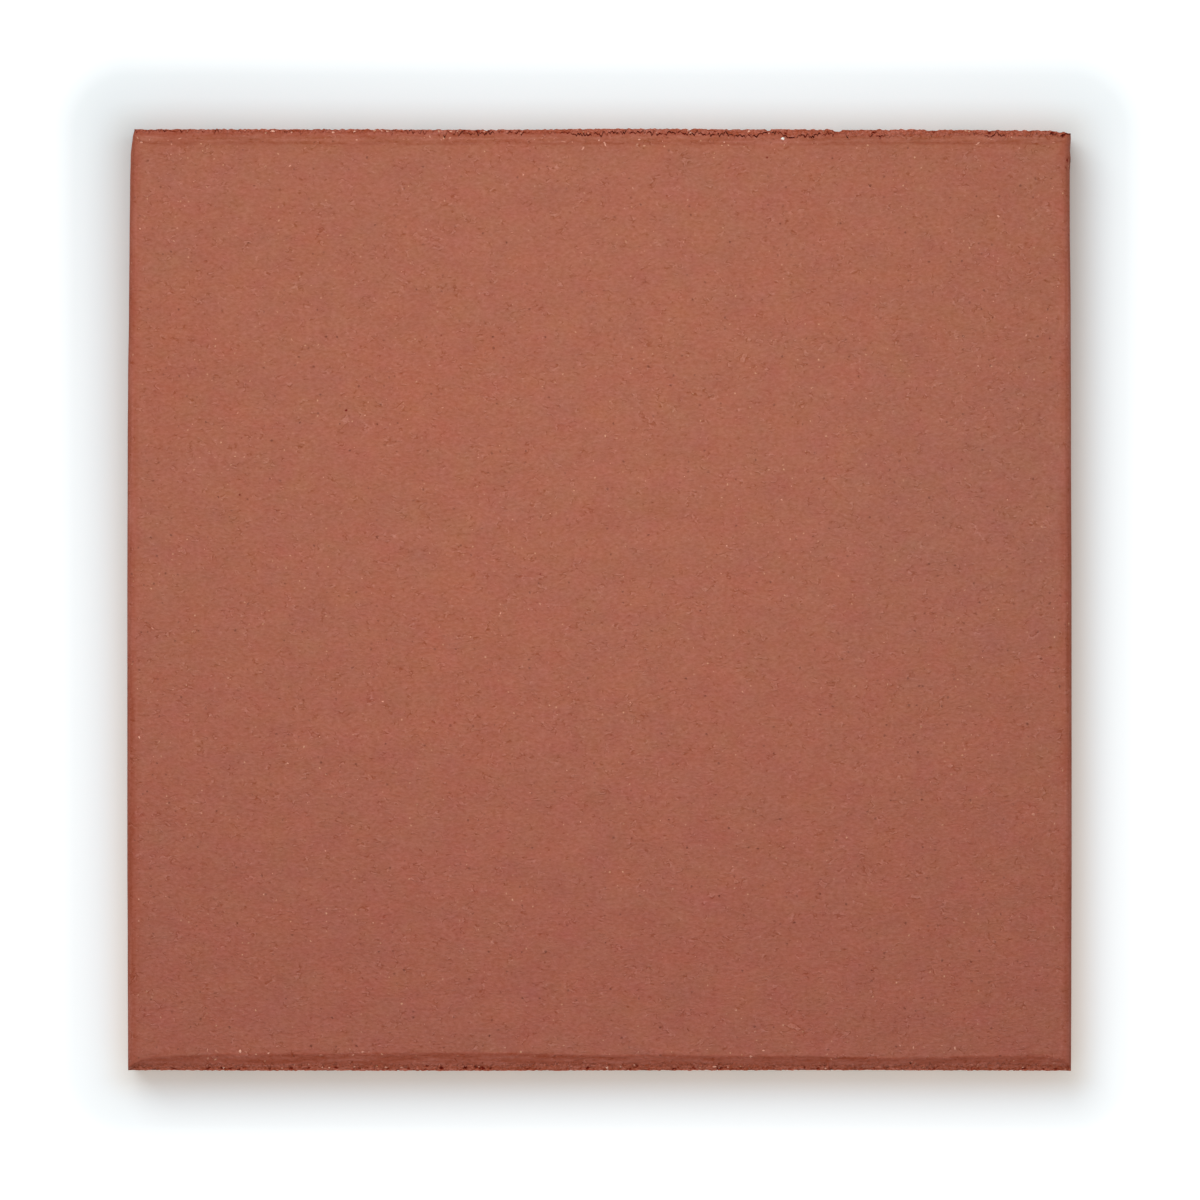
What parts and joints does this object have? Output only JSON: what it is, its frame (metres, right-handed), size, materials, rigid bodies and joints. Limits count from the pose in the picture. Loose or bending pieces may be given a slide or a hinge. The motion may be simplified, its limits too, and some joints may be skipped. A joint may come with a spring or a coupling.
{
  "type": "quarry tile",
  "caption": "Square unglazed red clay floor tile with bevelled cut ends, soft rounded sides and a back keyed by dovetail grooves.",
  "frame": {"origin": "centre of the underside, on the middle land between the back's grooves", "axes": "+Z out of the walking face, Y along the way the clay was extruded and the grooves run, +Y the end that the picture shows at its top, +X the side that it shows at the right"},
  "size_m": [0.15, 0.15, 0.0125],
  "materials": {
    "fired_clay": "matte"
  },
  "bodies": {
    "root": {"quarry_tile": "fired_clay"}
  },
  "joints": []
}
